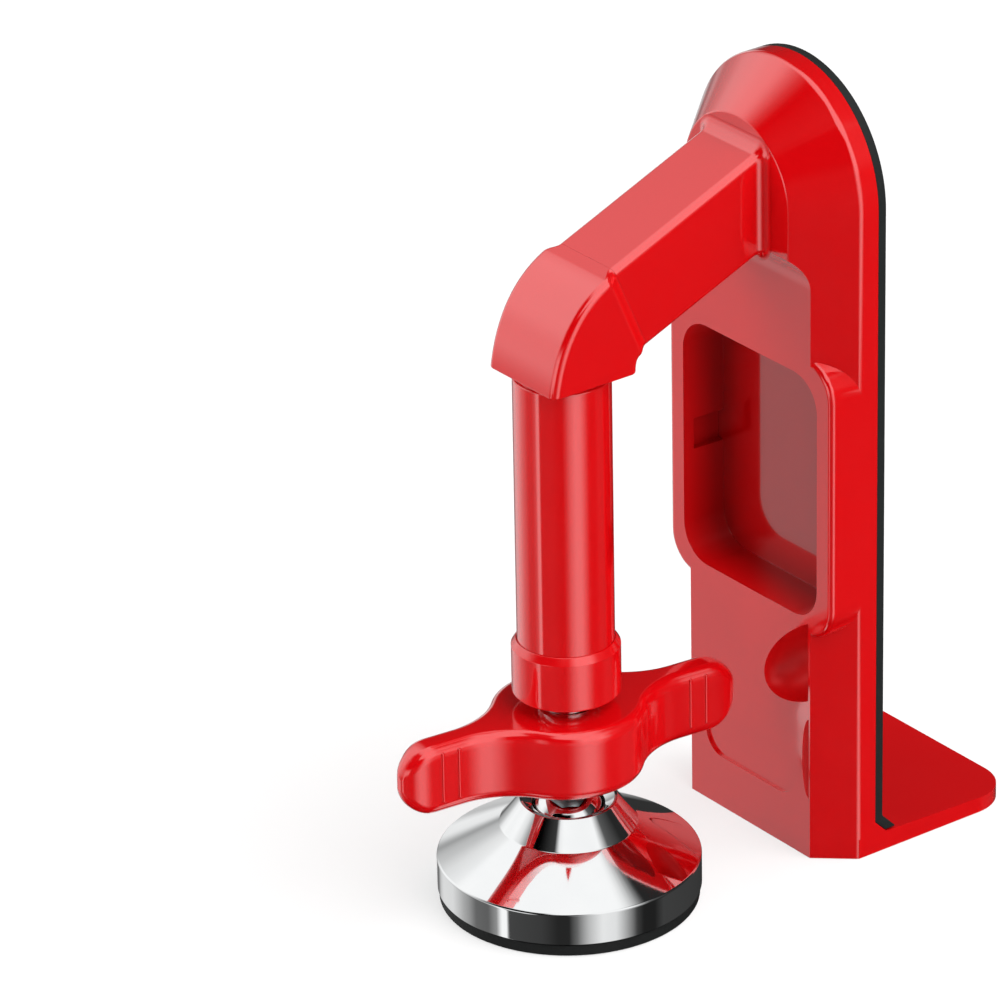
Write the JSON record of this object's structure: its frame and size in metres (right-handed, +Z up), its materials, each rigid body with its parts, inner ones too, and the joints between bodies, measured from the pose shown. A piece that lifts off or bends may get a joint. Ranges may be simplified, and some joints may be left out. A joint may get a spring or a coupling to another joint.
{
  "type": "screw-down door stopper",
  "caption": "Door stopper: arched bracket with a plate for under the door, an arm over to a tube leg, and a ball-jointed foot wound down by a wing knob.",
  "frame": {"origin": "on the floor, under the middle of the rubber pad's face that touches the door", "axes": "+Z up, +Y from the stopper towards the door and over the plate that slides under it, -Y into the room, +X to the side with the finger scoop"},
  "size_m": [0.0546, 0.1381, 0.1715],
  "materials": {
    "red_paint": "smooth gloss red enamel over cast aluminium",
    "red_plastic": "moulded red ABS, glossy with a faint moulding texture",
    "pad_rubber": "matt black rubber sheet",
    "foot_rubber": "matt black moulded rubber",
    "chrome": "mirror chrome plate over turned steel",
    "zinc_steel": "bright zinc-plated steel",
    "nut_brass": "turned brass",
    "cup_nylon": "natural nylon"
  },
  "bodies": {
    "frame": {"bracket": "red_paint", "door_pad": "pad_rubber", "arm": "red_paint", "arm_screw_lower": "zinc_steel", "arm_screw_upper": "zinc_steel", "elbow": "red_paint", "leg_tube": "red_paint", "tube_collar": "red_plastic", "spindle_nut": "nut_brass", "nut_pin_left": "zinc_steel", "nut_pin_right": "zinc_steel"},
    "spindle": {"spindle": "chrome"},
    "knob": {"wing_knob": "red_plastic", "knob_insert": "nut_brass", "lock_washer": "zinc_steel", "jam_nut": "zinc_steel"},
    "ball_cup": {"ball_cup": "cup_nylon"},
    "foot": {"foot_shell": "chrome", "base_disc": "zinc_steel", "foot_rubber": "foot_rubber"}
  },
  "joints": [
    {"name": "spindle_travel", "type": "slide", "parent": "frame", "child": "spindle", "axis": [0, 0, -1], "range_m": [-0.00088, 0.0245]},
    {"name": "knob_turn", "type": "hinge", "parent": "spindle", "child": "knob", "pos_m": [0, -0.0619, 0.0369], "axis": [0, 0, -1], "range_deg": [-181, 5041]},
    {"name": "foot_tilt_back_and_forth", "type": "hinge", "parent": "spindle", "child": "ball_cup", "pos_m": [0, -0.0619, 0.0172], "axis": [1, 0, 0], "range_deg": [-12, 12]},
    {"name": "foot_tilt_sideways", "type": "hinge", "parent": "ball_cup", "child": "foot", "pos_m": [0, -0.0619, 0.0172], "axis": [0, 1, 0], "range_deg": [-12, 12]}
  ],
  "couplings": [
    {"joint": "knob_turn", "follows": "spindle_travel", "rad_per_m": 3590.4}
  ]
}
